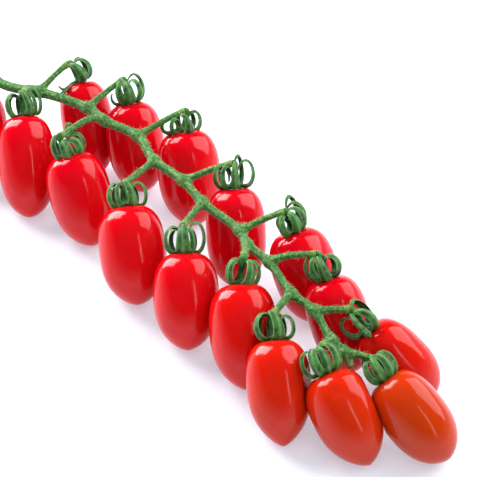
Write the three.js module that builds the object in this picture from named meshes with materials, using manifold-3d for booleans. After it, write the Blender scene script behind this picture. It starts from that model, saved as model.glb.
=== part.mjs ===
// A cut truss of datterino tomatoes, lying on its fruits: one stalk with its side stalks, a curled
// calyx on each fruit, and the fruits themselves. Millimetres, +Z up. The truss runs along X from its
// cut end to its tip, and the origin is on the surface, under the middle of its box.

import * as THREE from 'three';
import { mergeVertices } from 'three/addons/utils/BufferGeometryUtils.js';
import Module from 'manifold-3d';

const wasm = await Module();
wasm.setup();

// Driving dimensions

const GAP = 0.3; // clear space between pieces that meet
const SINK = 0.35; // depth pressed flat where a fruit touches the surface
const WIDEST = 0.44; // where a fruit is widest, as a share of its length from the stem end
const SHOULDER_POWER = 2.35; // bluntness of the shoulders, 2 would be an ellipse
const TIP_POWER_BLUNT = 3; // fullness of the lower half, for a fruit with a blunt tip
const TIP_POWER_LOSS = 0.8; // less of it, for a fruit with a pointed tip
const TIP_ROOT_BLUNT = 0.5;
const TIP_ROOT_GAIN = 0.25;
const DIMPLE_DEPTH = 1.3; // hollow under the calyx
const DIMPLE_RADIUS = 3.6;
const DIMPLE_RIM = 0.012; // where a ring stands on the slope of the hollow, as a share of the length
const FRUIT_SIDES = 14;
const FRUIT_RINGS = 8;

const STEM_RADIUS_CUT_END = 2.6;
const STEM_RADIUS_TIP = 1.5;
const STEM_SWELLING = 0.7; // extra radius of the stem at each fork
const STEM_SWELLING_SPREAD = 4;
const STEM_SIDES = 8;
const STEM_STEPS = 44;

const SIDE_STALK_RADIUS = 1.35;
const SIDE_STALK_LEVEL = 0.4; // steepness left where a side stalk comes into its knuckle, 0 would be level
const SIDE_STALK_RISE = 0.6; // how far a side stalk arches above the straight line, unless its fruit has a lift
const SIDE_STALK_START = 0.35; // share of the straight way over which a side stalk keeps its first direction
const SIDE_STALK_FINISH = 0.3; // share over which it keeps its last one
const SIDE_STALK_FLARE = 1.1; // extra radius where a side stalk leaves the stem
const SIDE_STALK_FLARE_LENGTH = 2.5;
const END_SHARE = 0.95; // how much of an extra thickness is also added to a side stalk's length
const KNUCKLE_SWELLING = 0.55; // extra radius at the joint above the calyx
const KNUCKLE_SPREAD = 1.8;
const SIDE_STALK_SIDES = 6;
const SIDE_STALK_STEPS = 5;

const DISC_RADIUS = 2.9; // green disc that sits in the dimple
const DISC_HEIGHT = 2;
const NECK_DEPTH = 0.6; // how far the disc reaches down into the dimple
const NECK_STRAIGHT = 5; // how far the neck keeps the calyx's direction
const NECK_BEND = 2.5; // how far past the knuckle the neck swings before it turns down
const NECK_SIDES = 6;
const NECK_STEPS = 5;

const CALYX_UPRIGHTNESS = 2; // pull of the fruit's axis on the calyx's, against that of the knuckle
const SEPAL_WIDTH = 4.5;
const SEPAL_THICKNESS = 1.1;
const SEPAL_THINNING = 0.4; // share of its thickness that a sepal loses by its tip
const SEPAL_TAPER_POWER = 2.2; // higher keeps a sepal broad until nearer its tip
const SEPAL_CUP = 0.5; // how far the edges of a sepal roll inwards
const SEPAL_CROWDING = 0.5; // half width of a sepal at most, as a share of its distance from the axis
const SEPAL_ROOT_FULLNESS = 0.65; // width at the root, as a share of the greatest
const SEPAL_WIDEST = 0.3; // where a sepal is widest, as a share of its reach
const SEPAL_TIP_HALF_WIDTH = 0.35;
const SEPAL_ROOT_RADIUS = 1.6;
const SEPAL_ROOT_HEIGHT = 0.25;
const LOOP_POWER = 1.5; // above 1 a sepal curls tighter towards its tip
const SEPAL_STEPS = 6;
const SEPAL_SIDES = 4;
const FINER = 6; // small steps that trace a sepal's line within each step of its blade
const LOOSE_REACH = 13; // a loose sepal lies out almost straight
const LOOSE_CURL = 35;

const FACING_SPREAD = 14; // degrees between the extremes of each random draw
const REACH_SPREAD = 0.16;
const CURL_SPREAD = 40;
const SWAY_SPREAD = 3;
const SEED = 11;

const NEIGHBOUR_DISTANCE = 60; // fruits farther apart than this can't meet
const SURFACE_SIZE = 600;

// Each fruit as it lies, near row first and from the cut end to the tip: the middle of its axis (x, y),
// where its tip points (heading) and how far the tip dips below level, its length and width, how
// pointed the tip is (0 to 1), the swollen joint above its calyx (knuckle) and the fork where its side
// stalk leaves the stem. The sepals have a count, the direction of the first one, the reach of one
// blade and how far it curls, loose is the number of a sepal that lies out almost straight, and ripe
// runs from 0, orange, to 1, deep red.
const FRUITS = [
  { x: -114.5, y: -42.5, heading: -44, dip: 50, long: 42.5, wide: 23.5, point: 0.4, ripe: 0.9,
    knuckle: [-128.5, -30.5, 41.5], fork: [-127, -23, 38.5], sepals: 6, first: 0, reach: 21, curl: 290 },
  { x: -85, y: -42, heading: -42, dip: 50, long: 44, wide: 22.5, point: 0.3, ripe: 0.9,
    knuckle: [-99, -27.5, 42.5], fork: [-102, -21, 38.5], sepals: 6, first: 25, reach: 21, curl: 285 },
  { x: -52.5, y: -40.5, heading: -21, dip: 52, long: 40.5, wide: 26, point: 0.2, ripe: 0.9,
    knuckle: [-65.5, -37, 42.5], fork: [-64, -14, 38], lift: 7, sepals: 6, first: 10, reach: 21, curl: 300 },
  { x: -12.5, y: -50.5, heading: -39, dip: 47, long: 40.5, wide: 27, point: 0.2, ripe: 0.85,
    knuckle: [-28.5, -37, 38], fork: [-29, -19, 38], sepals: 6, first: 35, reach: 20, curl: 300 },
  { x: 21, y: -54.5, heading: -43, dip: 47, long: 38.5, wide: 25.5, point: 0.2, ripe: 0.8,
    knuckle: [7, -40, 39], fork: [3, -24.5, 37.5], sepals: 6, first: 30, reach: 21, curl: 285 },
  { x: 51, y: -54, heading: -42, dip: 45, long: 41, wide: 25.5, point: 0.5, ripe: 0.65,
    knuckle: [37, -38, 38.5], fork: [31.5, -30, 36], sepals: 6, first: 0, reach: 20, curl: 290 },
  { x: 79, y: -66.5, heading: -44, dip: 42, long: 39, wide: 23, point: 0.9, ripe: 0.5,
    knuckle: [62.5, -50.5, 34.5], fork: [60, -37, 33.5], sepals: 5, first: 20, reach: 22, curl: 270 },
  { x: 104.5, y: -58, heading: -14, dip: 39, long: 37, wide: 23.5, point: 0.8, ripe: 0.3,
    knuckle: [85.5, -50, 32.5], fork: [84.5, -42.5, 29], sepals: 6, first: 15, reach: 19, curl: 310 },
  { x: 124, y: -40, heading: -1, dip: 32, long: 37, wide: 23, point: 0.4, ripe: 0.05,
    knuckle: [102.5, -38.5, 28.5], fork: [90.5, -43, 27.5], sepals: 6, first: 0, reach: 19, curl: 310 },
  { x: -84, y: -8, heading: -29, dip: 60, long: 42.5, wide: 22.5, point: 0.4, ripe: 1,
    knuckle: [-98.5, -2.5, 45.5], fork: [-98.5, -19.5, 39], sepals: 6, first: 10, reach: 21, curl: 285,
    loose: 0 },
  { x: -59.5, y: -2, heading: -32, dip: 60, long: 40, wide: 24.5, point: 0.4, ripe: 1,
    knuckle: [-73.5, 6.5, 44.5], fork: [-75, -13, 38.5], sepals: 6, first: 40, reach: 21, curl: 285 },
  { x: -27.5, y: -1.5, heading: -35, dip: 60, long: 41.5, wide: 26.5, point: 0.4, ripe: 0.95,
    knuckle: [-38, 8, 45], fork: [-46, -12, 38], sepals: 5, first: 20, reach: 20, curl: 310 },
  { x: 12, y: -16, heading: -42, dip: 58, long: 41.5, wide: 25, point: 0.4, ripe: 0.95,
    knuckle: [0, -4, 44.5], fork: [-11.5, -20.5, 38], sepals: 6, first: 35, reach: 21, curl: 285 },
  { x: 48.5, y: -13.5, heading: -13, dip: 55, long: 39, wide: 25, point: 0.4, ripe: 0.95,
    knuckle: [33.5, -11, 41.5], fork: [24.5, -26.5, 36.5], sepals: 6, first: 30, reach: 23, curl: 275 },
  { x: 74, y: -25, heading: -18, dip: 54, long: 38.5, wide: 23.5, point: 0.4, ripe: 0.9,
    knuckle: [57.5, -20, 40], fork: [44, -31.5, 35.5], lift: 3, sepals: 6, first: 0, reach: 20, curl: 290 },
  { x: 103, y: -22.5, heading: 21, dip: 42, long: 38, wide: 23, point: 0.4, ripe: 0.5,
    knuckle: [82.5, -30, 34.5], fork: [71.5, -37.5, 32], sepals: 5, first: 15, reach: 21, curl: 250 },
];

// The stem's own points besides the forks: its cut end, one bend between the first two forks, and its
// tip.
const STEM_CUT_END = [-150, -17, 39.5];
const STEM_BEND = [-116, -25.5, 38];
const STEM_TIP = [96, -45, 25];

const SKIN_ROUGHNESS = 0.2;
const GREEN_ROUGHNESS = 0.6;
const UP = new THREE.Vector3(0, 0, 1);
const DEEP_RED = new THREE.Color('#c3121b');
const ORANGE_RED = new THREE.Color('#dc4a1e');
const STALK_GREEN = new THREE.Color('#4f8a45');
const SEPAL_GREEN = new THREE.Color('#3d6f3a');

// Small helpers

const vector = (point) => new THREE.Vector3(...point);
const radians = THREE.MathUtils.degToRad;

// Seeded random numbers between 0 and 1, the same on every run.
function randomSource(seed) {
  let state = seed;
  return () => {
    state = (Math.imul(state, 1664525) + 1013904223) >>> 0;
    return state / 4294967296;
  };
}

function toSolid(geometry) {
  const bare = geometry.clone();
  bare.deleteAttribute('normal');
  bare.deleteAttribute('uv');
  const merged = mergeVertices(bare, 1e-4);
  const vertProperties = new Float32Array(merged.attributes.position.array);
  const triVerts = new Uint32Array(merged.index.array);
  return new wasm.Manifold(new wasm.Mesh({ numProp: 3, vertProperties, triVerts }));
}

function toGeometry(solid) {
  const { vertProperties, triVerts } = solid.getMesh();
  const geometry = new THREE.BufferGeometry();
  geometry.setAttribute('position', new THREE.BufferAttribute(vertProperties, 3));
  geometry.setIndex(new THREE.BufferAttribute(triVerts, 1));
  geometry.computeVertexNormals();
  return geometry;
}

// The main body of a cut solid: loose scraps that a cut leaves are dropped.
function largestBody(solid) {
  const bodies = solid.decompose();
  return bodies.reduce((best, body) => (body.volume() > best.volume() ? body : best));
}

// A closed bar whose section changes along its way: a cylinder of unit size, with each ring of its
// vertices put in the frame that frameAt gives. A frame has an origin, the directions across and out,
// the half sizes along them, and how far the section's two edges are drawn in, against out.
function sweep(sides, steps, frameAt) {
  const geometry = new THREE.CylinderGeometry(1, 1, 1, sides, steps);
  const frames = Array.from({ length: steps + 1 }, (_, index) => frameAt(index / steps, index));
  const position = geometry.attributes.position;
  const corner = new THREE.Vector3();
  for (let index = 0; index < position.count; index += 1) {
    corner.fromBufferAttribute(position, index);
    const frame = frames[Math.round((corner.y + 0.5) * steps)];
    const placed = frame.origin.clone();
    placed.addScaledVector(frame.across, corner.x * frame.halfAcross);
    placed.addScaledVector(frame.out, corner.z * frame.halfOut - corner.x * corner.x * (frame.cup ?? 0));
    position.setXYZ(index, placed.x, placed.y, placed.z);
  }
  return geometry;
}

// A round bar along a curve, with a radius that depends on the length run from its start.
function roundBar(curve, sides, steps, radiusAt) {
  const frenet = curve.computeFrenetFrames(steps, false);
  const length = curve.getLength();
  return sweep(sides, steps, (share, index) => {
    const radius = radiusAt(share * length, length);
    return {
      origin: curve.getPointAt(share),
      across: frenet.normals[index],
      out: frenet.normals[index].clone().cross(frenet.tangents[index]),
      halfAcross: radius,
      halfOut: radius,
    };
  });
}

// Fruits

// The direction from the stem end to the tip.
function axisOf(fruit) {
  const heading = radians(fruit.heading);
  const dip = radians(fruit.dip);
  return new THREE.Vector3(
    Math.cos(heading) * Math.cos(dip),
    Math.sin(heading) * Math.cos(dip),
    -Math.sin(dip),
  );
}

// Half the width at a share of the length from the stem end: a blunt super-ellipse above the widest
// place and a slimmer arc below it, which runs to a point the more pointed the tip is.
function halfWidthAt(fruit, share) {
  if (share < WIDEST) {
    const away = (WIDEST - share) / WIDEST;
    return (fruit.wide / 2) * Math.max(0, 1 - away ** SHOULDER_POWER) ** (1 / SHOULDER_POWER);
  }
  const away = (share - WIDEST) / (1 - WIDEST);
  const power = TIP_POWER_BLUNT - TIP_POWER_LOSS * fruit.point;
  const root = TIP_ROOT_BLUNT + TIP_ROOT_GAIN * fruit.point;
  return (fruit.wide / 2) * Math.max(0, 1 - away ** power) ** root;
}

// A fruit with its axis along Y and its stem end up, turned from its half outline. The rings crowd
// towards both ends, and the stem end dips into a small hollow.
function fruitBody(fruit) {
  const shares = Array.from({ length: FRUIT_RINGS + 1 }, (_, ring) => {
    return (1 + Math.cos((Math.PI * ring) / FRUIT_RINGS)) / 2;
  });
  shares.splice(FRUIT_RINGS, 0, DIMPLE_RIM);
  const outline = shares.map((share) => {
    const radius = halfWidthAt(fruit, share);
    const hollow = share < WIDEST ? DIMPLE_DEPTH * Math.exp(-((radius / DIMPLE_RADIUS) ** 2)) : 0;
    return new THREE.Vector2(radius, fruit.long * (0.5 - share) - hollow);
  });
  outline[0].x = 0;
  outline[outline.length - 1].x = 0;
  return new THREE.LatheGeometry(outline, FRUIT_SIDES);
}

// Directions round a leaning axis: up along it, left along the surface, and front, square to both.
function directionsAround(up) {
  const left = UP.clone().cross(up).normalize();
  const front = up.clone().cross(left);
  return { up, left, front };
}

// The fruit laid down: it leans as it does on the truss, and its lowest point is pressed just into the
// surface.
function layFruit(fruit) {
  const { up, left, front } = directionsAround(axisOf(fruit).negate());
  const body = fruitBody(fruit);
  body.applyMatrix4(new THREE.Matrix4().makeBasis(left, up, front.negate()));
  body.computeBoundingBox();
  const middle = new THREE.Vector3(fruit.x, fruit.y, -SINK - body.boundingBox.min.z);
  body.translate(middle.x, middle.y, middle.z);
  return { body, middle };
}

// The same fruit, larger all round by the gap that its neighbours keep.
function fatFruit(fruit) {
  const { body, middle } = layFruit(fruit);
  const grow = 1 + (2 * GAP) / fruit.wide;
  body.translate(-middle.x, -middle.y, -middle.z);
  body.scale(grow, grow, grow);
  body.translate(middle.x, middle.y, middle.z);
  return toSolid(body);
}

// Stalk

function stemRadius(point) {
  const share = (point.x - STEM_CUT_END[0]) / (STEM_TIP[0] - STEM_CUT_END[0]);
  const plain = THREE.MathUtils.lerp(STEM_RADIUS_CUT_END, STEM_RADIUS_TIP, share);
  const nearest = Math.min(...FRUITS.map((fruit) => point.distanceTo(vector(fruit.fork))));
  return plain + STEM_SWELLING * Math.exp(-((nearest / STEM_SWELLING_SPREAD) ** 2)) * (1 - share / 2);
}

function stemBar(extra) {
  const forks = FRUITS.map((fruit) => fruit.fork);
  const points = [STEM_CUT_END, STEM_BEND, STEM_TIP, ...forks].sort((a, b) => a[0] - b[0]);
  const curve = new THREE.CatmullRomCurve3(points.map(vector));
  return roundBar(curve, STEM_SIDES, STEM_STEPS, (run, length) => {
    return stemRadius(curve.getPointAt(run / length)) + extra;
  });
}

// The way a side stalk comes into its knuckle: along the line from the fork, but nearer to level.
function arrivalOf(fruit) {
  const way = vector(fruit.knuckle).sub(vector(fruit.fork));
  way.z *= SIDE_STALK_LEVEL;
  return way.normalize();
}

// A side stalk rises from the fork, runs out almost straight and comes level into the knuckle.
function sideStalkCurve(fruit, extra) {
  const fork = vector(fruit.fork);
  const knuckle = vector(fruit.knuckle);
  const way = knuckle.clone().sub(fork);
  const arrival = arrivalOf(fruit);
  const rise = fork.clone().addScaledVector(way, SIDE_STALK_START);
  rise.addScaledVector(UP, fruit.lift ?? SIDE_STALK_RISE);
  const run = knuckle.clone().addScaledVector(arrival, -SIDE_STALK_FINISH * way.length());
  const end = knuckle.clone().addScaledVector(arrival, END_SHARE * extra - GAP / 2);
  return new THREE.CubicBezierCurve3(fork, rise, run, end);
}

function sideStalkBar(fruit, extra) {
  return roundBar(sideStalkCurve(fruit, extra), SIDE_STALK_SIDES, SIDE_STALK_STEPS, (run, length) => {
    const flare = SIDE_STALK_FLARE * Math.exp(-run / SIDE_STALK_FLARE_LENGTH);
    const swelling = KNUCKLE_SWELLING * Math.exp(-(((length - run) / KNUCKLE_SPREAD) ** 2));
    return SIDE_STALK_RADIUS + flare + swelling + extra;
  });
}

function stalkSolid(extra) {
  const bars = [stemBar(extra), ...FRUITS.map((fruit) => sideStalkBar(fruit, extra))];
  return bars.map(toSolid).reduce((whole, bar) => whole.add(bar));
}

// Calyces

// The neck runs from the disc in the fruit's dimple up through the sepals and turns level into the
// knuckle.
function neckBar(fruit, pole, up) {
  const knuckle = vector(fruit.knuckle);
  const arrival = arrivalOf(fruit);
  const curve = new THREE.CubicBezierCurve3(
    pole.clone().addScaledVector(up, -NECK_DEPTH),
    pole.clone().addScaledVector(up, NECK_STRAIGHT),
    knuckle.clone().addScaledVector(arrival, NECK_BEND),
    knuckle.clone().addScaledVector(arrival, GAP / 2),
  );
  return roundBar(curve, NECK_SIDES, NECK_STEPS, (run, length) => {
    const disc = (DISC_RADIUS - SIDE_STALK_RADIUS) * Math.exp(-((run / DISC_HEIGHT) ** 2));
    const swelling = KNUCKLE_SWELLING * Math.exp(-(((length - run) / KNUCKLE_SPREAD) ** 2));
    return SIDE_STALK_RADIUS + disc + swelling;
  });
}

// One sepal: a lens-shaped blade that leaves the disc outwards and turns up and in, tighter towards its
// tip, in the plane through the calyx's axis that faces the given direction.
function sepalBlade(pole, directions, facing, reach, curl, sway) {
  const { up, left, front } = directions;
  const radial = left.clone().multiplyScalar(Math.cos(facing)).addScaledVector(front, Math.sin(facing));
  const across = up.clone().cross(radial);
  const line = [];
  let out = SEPAL_ROOT_RADIUS;
  let height = SEPAL_ROOT_HEIGHT;
  for (let index = 0; index <= SEPAL_STEPS * FINER; index += 1) {
    const share = index / (SEPAL_STEPS * FINER);
    const angle = curl * share ** LOOP_POWER;
    line.push({ out, height, angle });
    out += (Math.cos(angle) * reach) / (SEPAL_STEPS * FINER);
    height += (Math.sin(angle) * reach) / (SEPAL_STEPS * FINER);
  }
  return sweep(SEPAL_SIDES, SEPAL_STEPS, (share, index) => {
    const at = line[index * FINER];
    const opening = SEPAL_ROOT_FULLNESS + (1 - SEPAL_ROOT_FULLNESS) * Math.min(1, share / SEPAL_WIDEST);
    const fullness = opening * (1 - share ** SEPAL_TAPER_POWER);
    const room = Math.min((SEPAL_WIDTH / 2) * fullness, SEPAL_CROWDING * at.out);
    const facingOut = radial.clone().multiplyScalar(Math.sin(at.angle));
    facingOut.addScaledVector(up, -Math.cos(at.angle));
    const origin = pole.clone().addScaledVector(radial, at.out).addScaledVector(up, at.height);
    origin.addScaledVector(across, sway * share * share);
    return {
      origin,
      across,
      out: facingOut,
      halfAcross: Math.max(SEPAL_TIP_HALF_WIDTH, room),
      halfOut: (SEPAL_THICKNESS / 2) * (1 - SEPAL_THINNING * share),
      cup: SEPAL_CUP * fullness,
    };
  });
}

function calyxSolid(fruit, middle, random) {
  const fruitUp = axisOf(fruit).negate();
  const pole = middle.clone().addScaledVector(fruitUp, fruit.long / 2);
  const towardsKnuckle = vector(fruit.knuckle).sub(pole).normalize();
  const directions = directionsAround(
    towardsKnuckle.addScaledVector(fruitUp, CALYX_UPRIGHTNESS).normalize(),
  );
  const spread = () => random() - 0.5;
  let whole = toSolid(neckBar(fruit, pole, directions.up));
  for (let index = 0; index < fruit.sepals; index += 1) {
    const facing = fruit.first + (360 * index) / fruit.sepals + FACING_SPREAD * spread();
    const curledReach = fruit.reach * (1 + REACH_SPREAD * spread());
    const curledCurl = fruit.curl + CURL_SPREAD * spread();
    const sway = SWAY_SPREAD * spread();
    const loose = fruit.loose === index;
    const reach = loose ? LOOSE_REACH : curledReach;
    const curl = loose ? LOOSE_CURL : curledCurl;
    whole = whole.add(toSolid(sepalBlade(pole, directions, radians(facing), reach, radians(curl), sway)));
  }
  return whole;
}

// Assembly

function namedMesh(name, geometry, color, roughness) {
  const mesh = new THREE.Mesh(geometry, new THREE.MeshStandardMaterial({ color, roughness, metalness: 0 }));
  mesh.name = name;
  return mesh;
}

function buildTruss() {
  const group = new THREE.Group();
  const random = randomSource(SEED);
  const block = new THREE.BoxGeometry(SURFACE_SIZE, SURFACE_SIZE, SURFACE_SIZE);
  const surface = toSolid(block.translate(0, 0, -SURFACE_SIZE / 2));
  const laid = FRUITS.map(layFruit);
  const fatFruits = FRUITS.map(fatFruit);
  const fatStalk = stalkSolid(GAP);

  group.add(namedMesh('stalk', toGeometry(stalkSolid(0)), STALK_GREEN, GREEN_ROUGHNESS));
  FRUITS.forEach((fruit, index) => {
    const number = String(index + 1).padStart(2, '0');
    let calyx = calyxSolid(fruit, laid[index].middle, random).subtract(fatStalk);
    fatFruits.forEach((neighbour, other) => {
      if (laid[index].middle.distanceTo(laid[other].middle) < NEIGHBOUR_DISTANCE) {
        calyx = calyx.subtract(neighbour);
      }
    });
    group.add(namedMesh(`calyx_${number}`, toGeometry(largestBody(calyx)), SEPAL_GREEN, GREEN_ROUGHNESS));
    const color = ORANGE_RED.clone().lerp(DEEP_RED, fruit.ripe);
    const body = toSolid(laid[index].body).subtract(surface);
    group.add(namedMesh(`fruit_${number}`, toGeometry(body), color, SKIN_ROUGHNESS));
  });

  const box = new THREE.Box3().setFromObject(group);
  const centre = box.getCenter(new THREE.Vector3());
  group.position.set(-centre.x, -centre.y, -box.min.z);
  return group;
}

export default buildTruss();
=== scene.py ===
"""A cut truss of datterino tomatoes in their finished looks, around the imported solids.

Each piece is a surface worked out from the truss's own sizes: the fruits, the stalk with its side stalks
grown together, the calyces with their curled sepals, and the fine hairs on the green parts. Lengths are
in millimetres until a mesh is written, and the truss lies along X from its cut end to its tip.
"""

import itertools

import bpy
import numpy as np
from bpy.props import FloatProperty, FloatVectorProperty, IntProperty, PointerProperty
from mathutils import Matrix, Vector


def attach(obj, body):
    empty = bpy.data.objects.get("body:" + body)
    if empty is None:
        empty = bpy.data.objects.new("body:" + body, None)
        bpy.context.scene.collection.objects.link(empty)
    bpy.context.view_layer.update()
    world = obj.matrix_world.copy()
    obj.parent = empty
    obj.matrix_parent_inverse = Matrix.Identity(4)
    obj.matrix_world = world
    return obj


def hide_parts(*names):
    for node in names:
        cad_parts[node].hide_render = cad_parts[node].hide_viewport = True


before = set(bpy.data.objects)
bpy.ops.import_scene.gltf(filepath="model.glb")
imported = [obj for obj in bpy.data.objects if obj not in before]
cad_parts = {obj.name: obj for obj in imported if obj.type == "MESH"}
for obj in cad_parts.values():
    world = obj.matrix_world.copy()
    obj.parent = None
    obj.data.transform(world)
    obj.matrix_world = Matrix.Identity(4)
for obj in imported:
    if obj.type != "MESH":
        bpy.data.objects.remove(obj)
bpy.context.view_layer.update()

bl_info = {
    "name": "Datterino Tomato Truss",
    "version": (1, 0, 0),
    "blender": (4, 5, 0),
    "location": "3D View > Sidebar > Truss",
    "description": "Dresses a cut truss of datterino tomatoes and sets its studio",
    "category": "Object",
}

MM = 0.001

# The truss as it grew

# Each fruit, near row first and from the cut end to the tip: the middle of its axis (x, y), the heading of
# its tip and how far the tip dips below level, its length and width, how pointed the tip is, how ripe it
# is from 0, orange, to 1, deep red, the swollen joint above its calyx (knuckle), and the fork where its
# side stalk leaves the stem. lift is how far the side stalk arches, lean how many degrees the calyx leans
# to the right, and drop how far its sepals hang down over the fruit's shoulder. A dent has its share of the
# length, its place round the fruit in degrees, its depth and its radius.
FRUITS = (
    dict(x=-114.43, y=-41.75, heading=-46, dip=50, long=42.5, wide=23.5, point=0.4, ripe=0.9,
         knuckle=(-128.5, -30.5, 41.5), fork=(-127, -23, 38.5)),
    dict(x=-84.8, y=-41.1, heading=-44, dip=50, long=44, wide=24.2, point=0.3, ripe=0.9, lean=-9, drop=0.5,
         knuckle=(-99, -27.5, 42.5), fork=(-102, -21, 38.5)),
    dict(x=-52.43, y=-39.75, heading=-23, dip=52, long=40.5, wide=26, point=0.45, ripe=0.9, lift=7, lean=-4,
         drop=1.2, knuckle=(-65.5, -37, 42.5), fork=(-64, -14, 38)),
    dict(x=-12.3, y=-49.6, heading=-39, dip=47, long=40.5, wide=27, point=0.4, ripe=0.85, drop=0.9,
         knuckle=(-28.5, -37, 37.4), fork=(-29, -19, 38)),
    dict(x=21.07, y=-53.75, heading=-45, dip=47, long=38.5, wide=25.8, point=0.5, ripe=0.8, drop=0.4,
         knuckle=(7, -40, 37.8), fork=(3, -24.5, 37.5)),
    dict(x=51.0, y=-53.3, heading=-41, dip=45, long=41, wide=26.4, point=0.6, ripe=0.65, lean=7,
         drop=0.7, knuckle=(37, -38, 38.5), fork=(31.5, -30, 36)),
    dict(x=78.5, y=-64.7, heading=-42, dip=42, long=39.4, wide=24.2, point=0.9, ripe=0.42,
         dents=((0.16, 108, 0.4, 2),), knuckle=(62.5, -50.5, 33.7), fork=(60, -37, 33.5)),
    dict(x=104.7, y=-57.35, heading=-14, dip=39, long=37, wide=24.3, point=0.8, ripe=0.3,
         dents=((0.2, 65, 0.45, 1.8),), knuckle=(85.5, -50, 32.5), fork=(84.5, -42.5, 29)),
    dict(x=123.2, y=-40.7, heading=-1, dip=32, long=37.2, wide=23.8, point=0.4, ripe=0.05,
         knuckle=(102.5, -38.5, 28.5), fork=(90.5, -43, 27.5)),
    dict(x=-84.1, y=-5.6, heading=-31, dip=60, long=42.5, wide=22.5, point=0.4, ripe=1.0, lean=-9,
         knuckle=(-98.5, -2.5, 44.3), fork=(-98.5, -19.5, 39)),
    dict(x=-59.5, y=-0.2, heading=-33, dip=60, long=40, wide=25, point=0.4, ripe=1.0,
         knuckle=(-73.5, 6.5, 43.2), fork=(-75, -13, 38.5)),
    dict(x=-27.3, y=-0.45, heading=-37, dip=60, long=41.5, wide=26.5, point=0.4, ripe=0.95, drop=0.8,
         knuckle=(-38, 8, 43.6), fork=(-46, -12, 38)),
    dict(x=12.3, y=-15, heading=-44, dip=58, long=41.5, wide=24.4, point=0.4, ripe=0.95,
         knuckle=(0, -4, 43.3), fork=(-11.5, -20.5, 38)),
    dict(x=47.7, y=-12.5, heading=-15, dip=55, long=39, wide=26, point=0.4, ripe=0.95,
         knuckle=(33.5, -11, 41.5), fork=(24.5, -26.5, 36.5)),
    dict(x=74.2, y=-23.95, heading=-20, dip=54, long=38.5, wide=23.5, point=0.4, ripe=0.9, lift=3,
         knuckle=(57.5, -20, 40), fork=(44, -31.5, 35.5)),
    dict(x=102.4, y=-22.8, heading=21, dip=42, long=37, wide=23, point=0.4, ripe=0.5,
         knuckle=(82.5, -30, 34.5), fork=(71.5, -37.5, 32)),
)
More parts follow.
